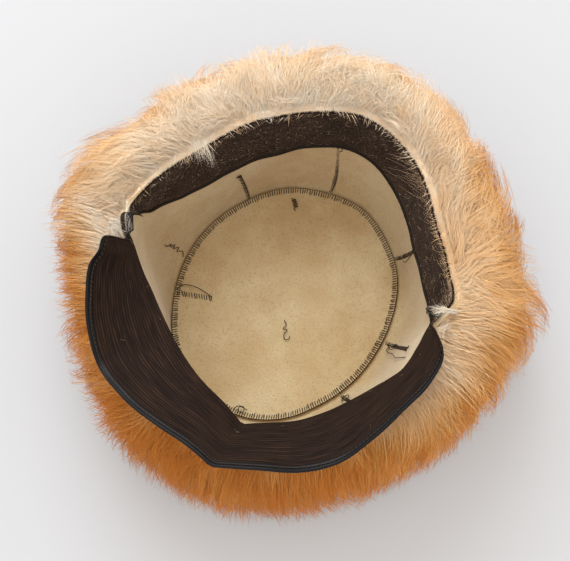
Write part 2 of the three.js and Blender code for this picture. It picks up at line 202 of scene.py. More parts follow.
def panel_grid():
    """The disc's section at every turn: middle of the top, out to the seam, and back underneath."""
    turn = (np.arange(PANEL_TURNS) * 360 / PANEL_TURNS)[:, None]
    share = np.linspace(0, 1, PANEL_RINGS)[None, :]
    radius = share * around(SEAM, 1, turn)
    x, y = radius * np.cos(np.radians(turn)), radius * np.sin(np.radians(turn))
    slack = np.sin(41 * x + 13 * y) + np.sin(57 * y - 20 * x + 1) + 0.6 * np.sin(95 * x + 60 * y)
    ridge = SEAM_RIDGE * np.exp(-(((1 - share) * PANEL_RADIUS / SEAM_RIDGE_WIDTH) ** 2))
    top = about_crown(turn, radius, panel_top + PANEL_SLACK * slack * (1 - share**4) + ridge)
    under = about_crown(turn, radius[:, ::-6], low.z)
    return np.concatenate([top, under], axis=1)


panel = laid_out("crown_panel", panel_grid(), False, [hide])
belongs(panel, "hide", "top_panel")

# Side wall: a band of the same lambskin, sewn to the panel at its foot and spreading to the rim. The
# flesh side faces the head, so it shows in the hollow, with shallow dents where the skin is slack.
RIM = np.array([
    (0, 0.0885), (20, 0.087), (40, 0.095), (54, 0.1005), (68, 0.103), (82, 0.099), (95, 0.096),
    (108, 0.095), (120, 0.0935), (131, 0.0945), (143, 0.099), (152, 0.103), (160, 0.1055),
    (166, 0.102), (173, 0.0955), (181, 0.09), (190, 0.085), (203, 0.0823), (217, 0.083),
    (229, 0.0855), (241, 0.089), (248, 0.0938), (251, 0.0965), (254, 0.0948), (260, 0.0922),
    (270, 0.0895), (281, 0.086), (292, 0.0835), (303, 0.083), (314, 0.085), (325, 0.084),
    (335, 0.0835), (342, 0.088), (349, 0.0925),
])
RIM_LEAN = np.array([0.007, -0.005, 0])
HIDE = 0.002
GAP = 0.0003
SEAM_ALLOWANCE = 0.0011
WALL_BELLY = 0.45
WALL_DENT = 0.0008
WALL_SLACK = 0.00035
WALL_TURNS = 240
WALL_LEVELS = 34

wall_low, wall_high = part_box("side_wall")
foot_height, rim_height = wall_low.z, wall_high.z


def wall_point(angle, level, offset):
    """The wall at an angle and a level, 0 at its foot and 1 at the rim, moved out by an offset."""
    share = np.power(level, WALL_BELLY)
    rim = around(RIM, 1, angle) + SEAM_ALLOWANCE
    foot = around(SEAM, 1, angle) + GAP
    dent = WALL_DENT * np.sin(np.radians(5 * angle + 40)) * np.sin(math.pi * level)
    radius = foot + (rim - foot) * share + dent + offset
    height = foot_height + (rim_height - foot_height) * level
    return about_crown(angle, radius, height) + np.asarray(share)[..., None] * RIM_LEAN


def wall_grid():
    """The wall's section at every turn: up its inside, and down its outside with fewer points."""
    turn = (np.arange(WALL_TURNS) * 360 / WALL_TURNS)[:, None]
    level = (np.linspace(0, 1, WALL_LEVELS) ** 1.6)[None, :] + 0 * turn
    slack = np.sin(np.radians(13 * turn)) + np.sin(np.radians(7 * turn) + 6 * level)
    inside = wall_point(turn, level, WALL_SLACK * slack * np.sin(math.pi * level))
    outside = wall_point(turn, level, HIDE)[:, ::-3]
    return np.concatenate([inside, outside], axis=1)


wall = laid_out("side_wall_skin", wall_grid(), True, [hide])
belongs(wall, "hide", "side_wall")

# Seams: a furrier's overcast stitch in waxed dark brown thread joins the panel to the wall, its short
# passes biting into the panel. Five darts in the wall and a mended cut in the panel are closed alike.
THREAD = 0.00056
DART_THREAD = 0.0005
SEAM_STITCH = {"Pitch": 0.0016, "Reach": 0.0034, "Rise": 0.0011, "Thread": THREAD}
MEND_STITCH = {"Pitch": 0.0016, "Reach": 0.0036, "Rise": 0.0009, "Thread": THREAD}
DART_STITCH = {"Reach": 0.0026, "Rise": 0.0009, "Thread": DART_THREAD}
STITCH_SLANT = 0.12
STITCH_PULL = (0.85, 1.12)
STITCH_STEPS = 4
STITCH_SIDES = 4
DART_START = 0.01
DART_ASIDE = 0.0008
DARTS = [  # foot angle, top angle, top level, stitch pitch
    (69.0, 73.0, 0.51, 0.0016),
    (108.5, 112.5, 0.33, 0.0018),
    (23.5, 21.0, 0.28, 0.0017),
    (338.5, 331.0, 0.52, 0.0017),
    (300.5, 300.0, 0.40, 0.0017),
]
MEND_WAY = (0.2, -0.98, 0)
MEND = [(-0.0705, 0.0100), (-0.0640, 0.0085), (-0.0560, 0.0072), (-0.0480, 0.0058)]


def waxed_thread():
    """Waxed linen thread: dark brown, with a dull shine along its twist."""
    made, tree = new_material("waxed linen thread")
    place = add(tree, "ShaderNodeTexCoord").outputs["Object"]
    twist = add(tree, "ShaderNodeTexNoise", {"Vector": place, "Scale": 1500.0, "Detail": 2.0})
    shade = add(tree, "ShaderNodeMix", {
        0: twist.outputs[0], 6: linear("#150B06"), 7: linear("#38230F"),
    }, data_type="RGBA")
    fibre = add(tree, "ShaderNodeBsdfPrincipled", {
        "Base Color": shade.outputs[2], "Roughness": 0.6, "Specular IOR Level": 0.35,
    })
    add(tree, "ShaderNodeOutputMaterial", {"Surface": fibre.outputs[0]})
    return made


def new_tree(name, sizes):
    """A geometry tree with named inputs, its group input and output, and a mesh going through."""
    tree = bpy.data.node_groups.new(name, "GeometryNodeTree")
    tree.interface.new_socket("Geometry", in_out="INPUT", socket_type="NodeSocketGeometry")
    for label, kind in sizes.items():
        tree.interface.new_socket(label, in_out="INPUT", socket_type=kind)
    tree.interface.new_socket("Geometry", in_out="OUTPUT", socket_type="NodeSocketGeometry")
    return tree, tree.nodes.new("NodeGroupInput").outputs, tree.nodes.new("NodeGroupOutput").inputs


def stitch_tree():
    """One thread pass at every pitch along a line, each bent from the seam over and into the skin.
    The line's points hold the way across the seam and the way out of the skin."""
    sizes = {"Pitch": "NodeSocketFloat", "Reach": "NodeSocketFloat", "Rise": "NodeSocketFloat",
             "Thread": "NodeSocketFloat", "Seed": "NodeSocketInt", "Material": "NodeSocketMaterial"}
    tree, given, made = new_tree("overcast stitches", sizes)
    line = add(tree, "GeometryNodeMeshToCurve", {0: given["Geometry"]})
    places = add(tree, "GeometryNodeCurveToPoints", {0: line.outputs[0], 2: given["Pitch"]}, mode="LENGTH")
    across = add(tree, "GeometryNodeInputNamedAttribute", {0: "across"}, data_type="FLOAT_VECTOR")
    outward = add(tree, "GeometryNodeInputNamedAttribute", {0: "outward"}, data_type="FLOAT_VECTOR")
    facing = add(tree, "FunctionNodeAxesToRotation", {0: outward.outputs[0], 1: across.outputs[0]},
                 primary_axis="Z", secondary_axis="X")
    slant = add(tree, "FunctionNodeRandomValue", {2: -STITCH_SLANT, 3: STITCH_SLANT, 8: given["Seed"]})
    slanted = add(tree, "ShaderNodeCombineXYZ", {2: slant.outputs[1]})
    turned = add(tree, "FunctionNodeRotateRotation", {0: facing.outputs[0], 1: slanted.outputs[0]},
                 rotation_space="LOCAL")
    least, most = STITCH_PULL
    pull = add(tree, "FunctionNodeRandomValue", {2: least, 3: most, 8: given["Seed"]})
    half = add(tree, "ShaderNodeMath", {0: given["Reach"], 1: 0.5}, operation="MULTIPLY")
    crest = add(tree, "ShaderNodeCombineXYZ", {0: half.outputs[0], 2: given["Rise"]})
    end = add(tree, "ShaderNodeCombineXYZ", {0: given["Reach"]})
    bow = add(tree, "GeometryNodeCurveQuadraticBezier", {
        0: STITCH_STEPS, 1: (0, 0, 0), 2: crest.outputs[0], 3: end.outputs[0],
    })
    radius = add(tree, "ShaderNodeMath", {0: given["Thread"], 1: 0.5}, operation="MULTIPLY")
    section = add(tree, "GeometryNodeCurvePrimitiveCircle", {0: STITCH_SIDES, 4: radius.outputs[0]})
    stitch = add(tree, "GeometryNodeCurveToMesh", {0: bow.outputs[0], 1: section.outputs[0], 3: True})
    each = add(tree, "GeometryNodeInstanceOnPoints", {
        0: places.outputs[0], 2: stitch.outputs[0], 5: turned.outputs[0], 6: pull.outputs[1],
    })
    solid = add(tree, "GeometryNodeRealizeInstances", {0: each.outputs[0]})
    smooth = add(tree, "GeometryNodeSetShadeSmooth", {0: solid.outputs[0]})
    dyed = add(tree, "GeometryNodeSetMaterial", {0: smooth.outputs[0], 2: given["Material"]})
    tree.links.new(dyed.outputs[0], made["Geometry"])
    return tree


def grown(piece, tree, **values):
    """Runs a tree on a piece with these input values and keeps the result as its plain mesh."""
    modifier = piece.modifiers.new(tree.name, "NODES")
    modifier.node_group = tree
    for item in tree.interface.items_tree:
        if item.in_out == "INPUT" and item.name in values:
            modifier[item.identifier] = values[item.name]
    result = piece.evaluated_get(bpy.context.evaluated_depsgraph_get())
    mesh = bpy.data.meshes.new_from_object(result)
    piece.modifiers.remove(modifier)
    piece.data = mesh
    return piece


def lines_piece(name, lines, floats=None, vectors=None, closed=False):
    """Polylines of equally many points as a mesh of edges, with values held by the points."""
    count, points = lines.shape[:2]
    first = (np.arange(count) * points)[:, None]
    steps = np.arange(points if closed else points - 1)
    edges = np.stack([first + steps, first + (steps + 1) % points], -1).reshape(-1, 2)
    mesh = bpy.data.meshes.new(name)
    mesh.vertices.add(count * points)
    mesh.vertices.foreach_set("co", lines.astype(np.float32).ravel())
    mesh.edges.add(len(edges))
    mesh.edges.foreach_set("vertices", edges.astype(np.int32).ravel())
    for key, values in (floats or {}).items():
        data = mesh.attributes.new(key, "FLOAT", "POINT").data
        data.foreach_set("value", np.broadcast_to(values, lines.shape[:2]).astype(np.float32).ravel())
    for key, values in (vectors or {}).items():
        data = mesh.attributes.new(key, "FLOAT_VECTOR", "POINT").data
        data.foreach_set("vector", np.broadcast_to(values, lines.shape).astype(np.float32).ravel())
    mesh.update()
    return shown(name, mesh)


def unit(vectors):
    """The same ways, one metre long."""
    return vectors / np.maximum(np.linalg.norm(vectors, axis=-1, keepdims=True), 1e-12)


def up_dart(dart, points, offset, turned=0):
    """Points up a dart from its foot, moved out of the wall by an offset and round it by degrees."""
    foot, top, level = dart
    share = np.linspace(0, 1, points)
    return wall_point(foot + (top - foot) * share + turned, DART_START + level * share, offset)


thread = waxed_thread()
overcast = stitch_tree()

turn = np.arange(0, 360, 1.5)
seam_line = about_crown(turn, around(SEAM, 1, turn) + GAP / 2, panel_top + 0.0006)
inwards = unit(about_crown(turn, 0, 0) - about_crown(turn, 1, 0))
seam = lines_piece("seam_stitches", seam_line[None], closed=True,
                   vectors={"across": inwards[None], "outward": (0, 0, 1)})
grown(seam, overcast, **SEAM_STITCH, Seed=4, Material=thread)
belongs(seam, "hide")

for number, (*dart, pitch) in enumerate(DARTS, start=1):
    line = up_dart(dart, 12, -0.0002)
    beside = unit(up_dart(dart, 12, 0, turned=1) - line)
    inside = unit(up_dart(dart, 12, -0.01) - line)
    stitches = lines_piece(f"dart_{number}_stitches", (line - DART_ASIDE * beside)[None],
                           vectors={"across": beside[None], "outward": inside[None]})
    grown(stitches, overcast, Pitch=pitch, **DART_STITCH, Seed=number, Material=thread)
    belongs(stitches, "hide")

cut = np.array([(x, y, panel_top + 0.0002) for x, y in MEND]) + crown_axis
mend = lines_piece("mended_cut_stitches", cut[None], vectors={"across": MEND_WAY, "outward": (0, 0, 1)})
grown(mend, overcast, **MEND_STITCH, Seed=9, Material=thread)
belongs(mend, "hide")

# Thread along the seams and loose ends: the same waxed thread runs on in every seam and dart, holds
# the skin in two small tacks, and is left long and curled where it was knotted off.
MM = 0.001
RUNNING_THREAD = 0.0007
LOOSE_THREADS = [  # points in mm from the crown's axis: across, away and up from the panel
    [(4.0, 72.2, 0.5), (7.2, 71.2, 1.6), (4.4, 70.6, 0.8), (7.8, 69.7, 1.8), (5.0, 69.0, 0.8),
     (8.4, 68.2, 1.8), (5.4, 67.5, 0.8), (8.6, 66.6, 1.4), (6.0, 66.0, 0.8), (6.8, 63.6, 0.6)],
    [(-0.5, -10.5, 0.5), (0.8, -14.0, 1.4), (-1.2, -16.5, 1.8), (1.4, -17.2, 1.4), (-0.8, -20.5, 1.6),
     (0.2, -23.5, 1.0), (2.4, -22.8, 1.2), (3.0, -21.2, 0.6)],
    [(-33.0, -69.0, 1.0), (-30.0, -67.2, 2.6), (-26.2, -68.2, 3.0), (-26.8, -71.2, 2.6),
     (-30.0, -70.5, 3.4), (-28.5, -68.0, 4.0), (-24.0, -69.8, 2.0)],
    [(-70.5, 10.5, 0.8), (-66.0, 12.8, 2.0), (-60.0, 12.0, 2.4), (-54.0, 9.2, 2.0), (-49.5, 6.2, 1.4),
     (-47.5, 4.8, 0.8)],
]
CURLED_ENDS = [  # angle and level on the wall, and distance in mm from its face
    [(153.8, 0.01, 0.6), (151.9, 0.04, 1.6), (153.6, 0.065, 0.8), (151.8, 0.09, 1.8),
     (153.9, 0.115, 0.8), (152.3, 0.14, 1.8), (154.4, 0.155, 0.8), (153.4, 0.18, 1.8),
     (155.3, 0.19, 0.8), (155.6, 0.23, 1.4)],
    [(112.5, 0.33, 0.6), (113.5, 0.36, 1.4), (114.5, 0.37, 1.8), (114.0, 0.33, 0.8)],
    [(73.0, 0.50, 0.6), (72.0, 0.54, 1.6), (71.2, 0.50, 1.4), (72.2, 0.46, 0.8)],
    [(21.0, 0.26, 0.6), (20.2, 0.20, 1.8), (20.0, 0.13, 1.6), (21.2, 0.08, 0.8)],
    [(337.0, 0.05, 0.8), (335.0, 0.06, 2.2), (333.0, 0.12, 2.6), (331.0, 0.24, 2.4),
     (328.5, 0.34, 2.0), (327.0, 0.48, 1.8), (326.0, 0.64, 1.0)],
    [(338.5, 0.02, 0.6), (336.0, 0.08, 2.4), (334.5, 0.16, 2.6), (336.5, 0.20, 1.8),
     (338.0, 0.14, 2.2), (336.5, 0.08, 1.0)],
    [(331.0, 0.50, 0.6), (329.5, 0.58, 2.0), (331.5, 0.62, 1.6), (332.0, 0.56, 0.8)],
    [(300.5, 0.02, 0.8), (303.0, 0.06, 2.2), (301.0, 0.12, 2.4), (298.0, 0.09, 2.0), (300.0, 0.03, 1.0)],
]


def strand_tree():
    """Every line of a piece as a closed strand with a few sides, as thick at each point as it says."""
    sizes = {"Sides": "NodeSocketInt", "Material": "NodeSocketMaterial"}
    tree, given, made = new_tree("strands along lines", sizes)
    line = add(tree, "GeometryNodeMeshToCurve", {0: given["Geometry"]})
    thick = add(tree, "GeometryNodeInputNamedAttribute", {0: "thick"}, data_type="FLOAT")
    section = add(tree, "GeometryNodeCurvePrimitiveCircle", {0: given["Sides"], 4: 0.5})
    strand = add(tree, "GeometryNodeCurveToMesh", {
        0: line.outputs[0], 1: section.outputs[0], 2: thick.outputs[0], 3: True,
    })
    solid = add(tree, "GeometryNodeRealizeInstances", {0: strand.outputs[0]})
    smooth = add(tree, "GeometryNodeSetShadeSmooth", {0: solid.outputs[0]})
    dyed = add(tree, "GeometryNodeSetMaterial", {0: smooth.outputs[0], 2: given["Material"]})
    tree.links.new(dyed.outputs[0], made["Geometry"])
    return tree


def rounded(points, per_span):
    """A smooth line through a few points, with that many steps between each two."""
    points = np.asarray(points, float)
    ends = np.vstack([2 * points[0] - points[1], points, 2 * points[-1] - points[-2]])
    t = np.linspace(0, 1, per_span, endpoint=False)[:, None]
    spans = []
    for a, b, c, d in zip(ends, ends[1:], ends[2:], ends[3:]):
        spans.append(b + 0.5 * t * (c - a + t * (2 * a - 5 * b + 4 * c - d + t * (3 * (b - c) + d - a))))
    return np.vstack([*spans, points[-1:]])


def joined(name, parts):
    """Several pieces as one."""
    with bpy.context.temp_override(active_object=parts[0], selected_editable_objects=parts):
        bpy.ops.object.join()
    parts[0].name = name
    return parts[0]


strands = strand_tree()
laid_threads = []
for points in LOOSE_THREADS:
    laid_threads.append((rounded(np.array(points) * MM + [0, 0, panel_top], 6) + crown_axis, THREAD))
for points in CURLED_ENDS:
    angle, level, inset = np.array(points).T
    laid_threads.append((rounded(wall_point(angle, level, -inset * MM), 6), THREAD))
laid_threads.append((np.concatenate([seam_line, seam_line[:1]]) - [0, 0, 0.0003], RUNNING_THREAD))
for *dart, _ in DARTS:
    laid_threads.append((up_dart(dart, 14, -0.0001), DART_THREAD))
ends = [lines_piece("thread", line[None], {"thick": thick}) for line, thick in laid_threads]
loose_ends = grown(joined("loose_thread_ends", ends), strands, Sides=5, Material=thread)
belongs(loose_ends, "hide")

# Sweatband: one ribbon of braid 42 mm wide, sewn to the rim by an edge. Its far half is tucked in and
# shows the napped head side; its near half is turned out over the pile and shows the ribbed back.
BAND = np.array([  # angle at the rim, turn, bend, swing, share of the width that isn't crumpled
    (0, 256, -6, 8, 1), (20, 256, -6, 6, 1), (43, 256, -8, 0, 1), (57, 259, -10, 0, 1),
    (70, 261, -10, 0, 1), (85, 262, -8, 0, 1), (100, 259, -8, 0, 1), (125, 260, -8, 0, 1),
    (140, 261, -8, 0, 0.97), (145, 261, -8, 0, 0.85), (150, 260, -8, 0, 0.7), (154, 258, -8, 0, 0.57),
    (157, 252, -14, 0, 0.32), (159, 235, -30, 0, 0.18), (160.5, 160, -100, 0, 0.2),
    (162, 108, -145, 0, 0.32), (164, 100, -150, 0, 0.38), (167.5, 96, -140, 0, 0.34),
    (169, 84, -60, 20, 0.24), (170, 74, 4, 30, 0.2), (171.2, 74, 9, 26, 0.36), (172, 73, 9, 24, 0.72),
    (172.8, 72, 10, 22, 0.97), (174, 69, 11, 22, 1), (176.5, 65, 14, 19, 1), (181, 52, 18, 9, 1),
    (190, 34, 14, 2, 1), (199, 18, 10, -3, 1.02), (210, 8, 8, -8, 1.05), (221, 18, 12, -10, 1.02),
    (234, 32, 16, -12, 1), (247, 42, 20, -12, 1), (262, 44, 24, -6, 1), (280, 39, 28, -5, 1),
    (293, 48, 36, -6, 1), (305, 58, 44, -8, 1), (316, 64, 50, -12, 1), (324, 65, 47, -20, 1),
    (328, 66, 42, -28, 1), (331, 66, 34, -38, 1), (333, 67, 30, -44, 0.97), (334.3, 72, 26, -44, 0.66),
    (335.5, 84, 14, -40, 0.26), (338, 110, 0, -10, 0.15), (341, 150, 0, 0, 0.15),
    (343.5, 205, 0, 0, 0.22), (345, 235, -4, 0, 0.4), (346.5, 248, -6, 2, 0.65),
    (348.5, 254, -8, 5, 0.92), (351, 256, -8, 7, 1),
])
BAND_WIDTH = 0.042
BAND_LENGTH = 0.575
BAND_THICKNESS = 0.0012
BAND_RIPPLE = 0.0004
BAND_STEPS = 14
CROSSINGS = [(154, 178), (332, 352)]  # where the band goes from tucked in to turned out
PLACES_APART = 1.5
PLACES_APART_CROSSING = 0.4


def ribbed_back():
    """Ribbed cotton braid, woven and dyed dark brown: fine cords along its length 1.5 mm apart, with
    worn streaks, painted shade in the grooves between the cords, and a dull silky sheen."""
    made, tree = new_material("ribbed braid")
    flat = add(tree, "ShaderNodeTexCoord").outputs["UV"]
    ribs = add(tree, "ShaderNodeTexWave", {
        "Vector": flat, "Scale": 209.0, "Distortion": 1.2, "Detail": 2.0, "Detail Scale": 0.3,
    }, bands_direction="Y")
    along = add(tree, "ShaderNodeMapping", {"Vector": flat, "Scale": (70, 900, 1)})
    streaks = add(tree, "ShaderNodeTexNoise", {
        "Vector": along.outputs[0], "Scale": 1.0, "Detail": 4.0, "Roughness": 0.65,
    })
    wear = add(tree, "ShaderNodeMapRange", {"Value": streaks.outputs[0], 1: 0.42, 2: 0.72})
    cloth = add(tree, "ShaderNodeMix", {
        0: wear.outputs[0], 6: linear("#140B08"), 7: linear("#3C2A1E"),
    }, data_type="RGBA")
    # Painted shade: the colour goes darker where the ribs' wave is low, in the grooves between the cords.
    cords = add(tree, "ShaderNodeMix", {
        0: ribs.outputs[1], 6: linear("#150D09"), 7: cloth.outputs[2],
    }, data_type="RGBA")
    relief = add(tree, "ShaderNodeMath", {0: ribs.outputs[1], 1: streaks.outputs[0]}, operation="ADD")
    bump = add(tree, "ShaderNodeBump", {"Height": relief.outputs[0], "Strength": 0.6, "Distance": 0.0005})
    braid = add(tree, "ShaderNodeBsdfPrincipled", {
        "Base Color": cords.outputs[2], "Roughness": 0.75, "Specular IOR Level": 0.08, "Sheen Weight": 0.02,
        "Sheen Roughness": 0.4, "Sheen Tint": linear("#8A6A50"), "Normal": bump.outputs[0],
    })
    add(tree, "ShaderNodeOutputMaterial", {"Surface": braid.outputs[0]})
    return made


def napped_face():
    """The braid's head side, brushed to a short dark nap: near black, matt, with pale fluff in it."""
    made, tree = new_material("brushed nap")
    place = add(tree, "ShaderNodeTexCoord").outputs["Object"]
    fluff = add(tree, "ShaderNodeTexNoise", {
        "Vector": place, "Scale": 950.0, "Detail": 4.0, "Roughness": 0.8,
    })
    drift = add(tree, "ShaderNodeTexNoise", {"Vector": place, "Scale": 60.0, "Detail": 3.0})
    worn = add(tree, "ShaderNodeMapRange", {"Value": drift.outputs[0], 3: 0.88, 4: 1.12})
    both = add(tree, "ShaderNodeMath", {0: fluff.outputs[0], 1: worn.outputs[0]}, operation="MULTIPLY")
    share = add(tree, "ShaderNodeMapRange", {"Value": both.outputs[0], 1: 0.49, 2: 0.68, 4: 0.8})
    shade = add(tree, "ShaderNodeMix", {
        0: share.outputs[0], 6: linear("#17110E"), 7: linear("#645244"),
    }, data_type="RGBA")
    bump = add(tree, "ShaderNodeBump", {"Height": fluff.outputs[0], "Strength": 0.6, "Distance": 0.0005})
    nap = add(tree, "ShaderNodeBsdfPrincipled", {
        "Base Color": shade.outputs[2], "Roughness": 0.95, "Specular IOR Level": 0.1, "Sheen Weight": 0.3,
        "Sheen Roughness": 0.5, "Sheen Tint": linear("#5C4C42"), "Normal": bump.outputs[0],
    })
    add(tree, "ShaderNodeOutputMaterial", {"Surface": nap.outputs[0]})
    return made


def band_lines(angle, steps, shape):
    """The band's middle line across its width at some places of the rim: its points, the way that it
    heads at each, and its face's way out. shape is the turn, bend, swing and reach at each place."""
    turn, bend, swing, reach = (np.asarray(column, float)[:, None] for column in shape)
    out = np.radians(angle[:, None] + swing)
    sewn = about_crown(angle, around(RIM, 1, angle), rim_height + GAP + BAND_THICKNESS / 2) + RIM_LEAN

    def heading(share):
        slope = np.radians(turn + bend * (0.5 - share))
        return np.stack([np.cos(out) * np.cos(slope), np.sin(out) * np.cos(slope), np.sin(slope)], -1)

    moves = heading((np.arange(steps) + 0.5)[None] / steps) * (reach * BAND_WIDTH / steps)[..., None]
    points = sewn[:, None] + np.concatenate([0 * moves[:, :1], np.cumsum(moves, axis=1)], axis=1)
    ways = heading(np.linspace(0, 1, steps + 1)[None])
    sideways = np.stack([-np.sin(out), np.cos(out), 0 * out], -1)
    return points, ways, np.cross(np.broadcast_to(sideways, ways.shape), ways)


def band_angles():
    """Places round the rim, closer together where the band crosses over."""
    angles = [0.0]
    while angles[-1] < 360:
        crossing = any(start <= angles[-1] < end for start, end in CROSSINGS)
        angles.append(angles[-1] + (PLACES_APART_CROSSING if crossing else PLACES_APART))
    return np.array(angles[:-1])


angles = band_angles()
band_shape = [around(BAND, column, angles) for column in (1, 2, 3, 4)]
points, ways, faces = band_lines(angles, BAND_STEPS, band_shape)
ripple = np.sin(np.radians(23 * angles))[:, None] * np.sin(np.linspace(0, 9, BAND_STEPS + 1))[None]
points = points + faces * (BAND_RIPPLE * ripple)[..., None]
head_side = points + faces * BAND_THICKNESS / 2
back_side = (points - faces * BAND_THICKNESS / 2)[:, ::-1]
section = np.concatenate([head_side, back_side], axis=1)
side_of = np.array([0] * (BAND_STEPS + 1) + [1] * (BAND_STEPS + 1))
band = laid_out("sweatband_ribbon", section, True, [napped_face(), ribbed_back()],
                flat=(BAND_LENGTH, 2 * BAND_WIDTH), faced=side_of)
belongs(band, "band", "sweatband")

# Piping: the free edge is bound in glazed black lambskin over a cord, so a round ridge stands at the
# very edge with a flat turned-in strip beside it, stitched down in the groove between them.
CORD_RADIUS = 0.0011
STRIP = 0.0017
STRIP_FACE = [(-0.0006, 0.00085), (-0.75 * STRIP, 0.00105), (-STRIP, 0.0007)]
PIPING_ROUND = 0.014
PIPING_SMOOTH_UP_TO = math.radians(75)
PIPING_STITCH = {"Pitch": 0.0026, "Reach": 0.0018, "Rise": 0.0005, "Thread": 0.0005}
GROOVE = (0.0001, 0.00095)  # in from the edge, and out from the band's middle


def glazed_skin():
    """Glazed black piping leather: smooth, near black, with a soft bright line along the cord and
    faint cross wrinkles."""
    made, tree = new_material("glazed piping leather")
    flat = add(tree, "ShaderNodeTexCoord").outputs["UV"]
    along = add(tree, "ShaderNodeMapping", {"Vector": flat, "Scale": (900, 60, 1)})
    wrinkles = add(tree, "ShaderNodeTexNoise", {
        "Vector": along.outputs[0], "Scale": 1.0, "Detail": 3.0,
    })
    shade = add(tree, "ShaderNodeMix", {
        0: wrinkles.outputs[0], 6: linear("#040404"), 7: linear("#0C0B0C"),
    }, data_type="RGBA")
    shine = add(tree, "ShaderNodeMapRange", {"Value": wrinkles.outputs[0], 3: 0.28, 4: 0.5})
    bump = add(tree, "ShaderNodeBump", {"Height": wrinkles.outputs[0], "Strength": 0.3, "Distance": 0.0003})
    leather = add(tree, "ShaderNodeBsdfPrincipled", {
        "Base Color": shade.outputs[2], "Roughness": shine.outputs[0], "Specular IOR Level": 0.13,
        "Normal": bump.outputs[0],
    })
    add(tree, "ShaderNodeOutputMaterial", {"Surface": leather.outputs[0]})
    return made


edge, way, face = points[:, -1], ways[:, -1], faces[:, -1]
ridge = [(GAP + CORD_RADIUS + CORD_RADIUS * math.cos(a), CORD_RADIUS * math.sin(a))
         for a in np.radians(np.arange(-135, 136, 30))]
profile = np.array([*ridge, *STRIP_FACE, *((x, -y) for x, y in reversed(STRIP_FACE))])
section = edge[:, None] + way[:, None] * profile[None, :, :1] + face[:, None] * profile[None, :, 1:]
piping = laid_out("free_edge_piping", section, True, [glazed_skin()], flat=(BAND_LENGTH, PIPING_ROUND))
piping.data.set_sharp_from_angle(angle=PIPING_SMOOTH_UP_TO)
belongs(piping, "piping", "band_piping")

forward = unit(np.roll(edge, -1, axis=0) - edge)
for name, side in (("piping_stitches_back", -1), ("piping_stitches_front", 1)):
    groove = edge - way * GROOVE[0] + face * side * GROOVE[1]
    row = lines_piece(name, groove[None], closed=True,
                      vectors={"across": forward[None], "outward": (side * face)[None]})
    grown(row, overcast, **PIPING_STITCH, Seed=2, Material=thread)
    belongs(row, "piping")

# Pile: the wool of the side wall and the crown, 45 to 60 mm long, cream at the root and dyed rust at
# the tip. Its dense inner part is one soft body on the skin; the loose outer wool lies over it.
PILE = np.array([  # angle, radius where the tips end, crest: 1 free and raised, 0 pressed by the band
    (0, 0.152, 1), (15, 0.148, 1), (30, 0.148, 1), (45, 0.154, 1), (60, 0.153, 1), (75, 0.150, 1),
    (90, 0.149, 1), (105, 0.144, 1), (120, 0.1425, 1), (135, 0.143, 1), (149, 0.151, 0.9),
    (161, 0.149, 0), (178, 0.138, 0), (195, 0.1345, 0), (210, 0.136, 0), (225, 0.139, 0),
    (240, 0.1385, 0), (255, 0.1385, 0), (270, 0.1355, 0), (285, 0.133, 0), (300, 0.1335, 0),
    (315, 0.1385, 0), (332, 0.1435, 0), (343, 0.151, 0.1), (352, 0.158, 0.6),
])
PROFILE = np.array([  # share of the way from the wall to the outline, height, share of the crest
    (0.00, 0.1256, 0.2), (0.14, 0.1266, 0.8), (0.34, 0.1266, 1.0), (0.60, 0.1200, 0.8),
    (0.83, 0.1060, 0.4), (1.00, 0.0830, 0.0), (1.00, 0.0580, 0.0), (1.00, 0.0360, 0.0),
    (1.00, 0.0190, 0.0), (0.95, 0.0080, 0.0),
])
PILE_BACKING = 0.0145
CREST_RISE = 0.006
CREST_PRESSED = -0.002
RIM_SWELL = 0.0022  # how much higher the wool stands right beside the tucked band
RIM_SWELL_ROWS = 0.6
PILE_SLACK = 0.0008
PILE_TURNS = 180
PILE_ROWS = 46
# Painted shade: the dense wool is drawn darker than the strands, so that where it shows between them it
# reads as their shade.
BODY_PAINTED_SHADE = 0.05  # the dense wool is that much darker than the strands on it
DYE_STARTS = 2.4
DYE_ROWS = 3.6
# The higher dye beside the rim on the right, from 322 through 0 to 25 degrees, is partly the wool's real
# tan and partly painted shade on the side away from the softbox.
DYE = np.array([  # angle, dye beside the rim, how much more the tips have, how far up the pile it starts
    (0, 0.42, 0.38, 0.7), (25, 0.34, 0.44, 0.5), (50, 0.25, 0.42, 0.0), (80, 0.23, 0.38, -0.3),
    (110, 0.23, 0.40, -0.2), (140, 0.25, 0.50, 0.2), (165, 0.27, 0.56, 0.6), (190, 0.31, 0.58, 1.2),
    (215, 0.34, 0.60, 1.8), (245, 0.36, 0.64, 2.1), (275, 0.36, 0.64, 2.0), (300, 0.36, 0.56, 1.1),
    (322, 0.36, 0.48, 0.4), (342, 0.39, 0.42, 0.5),
])


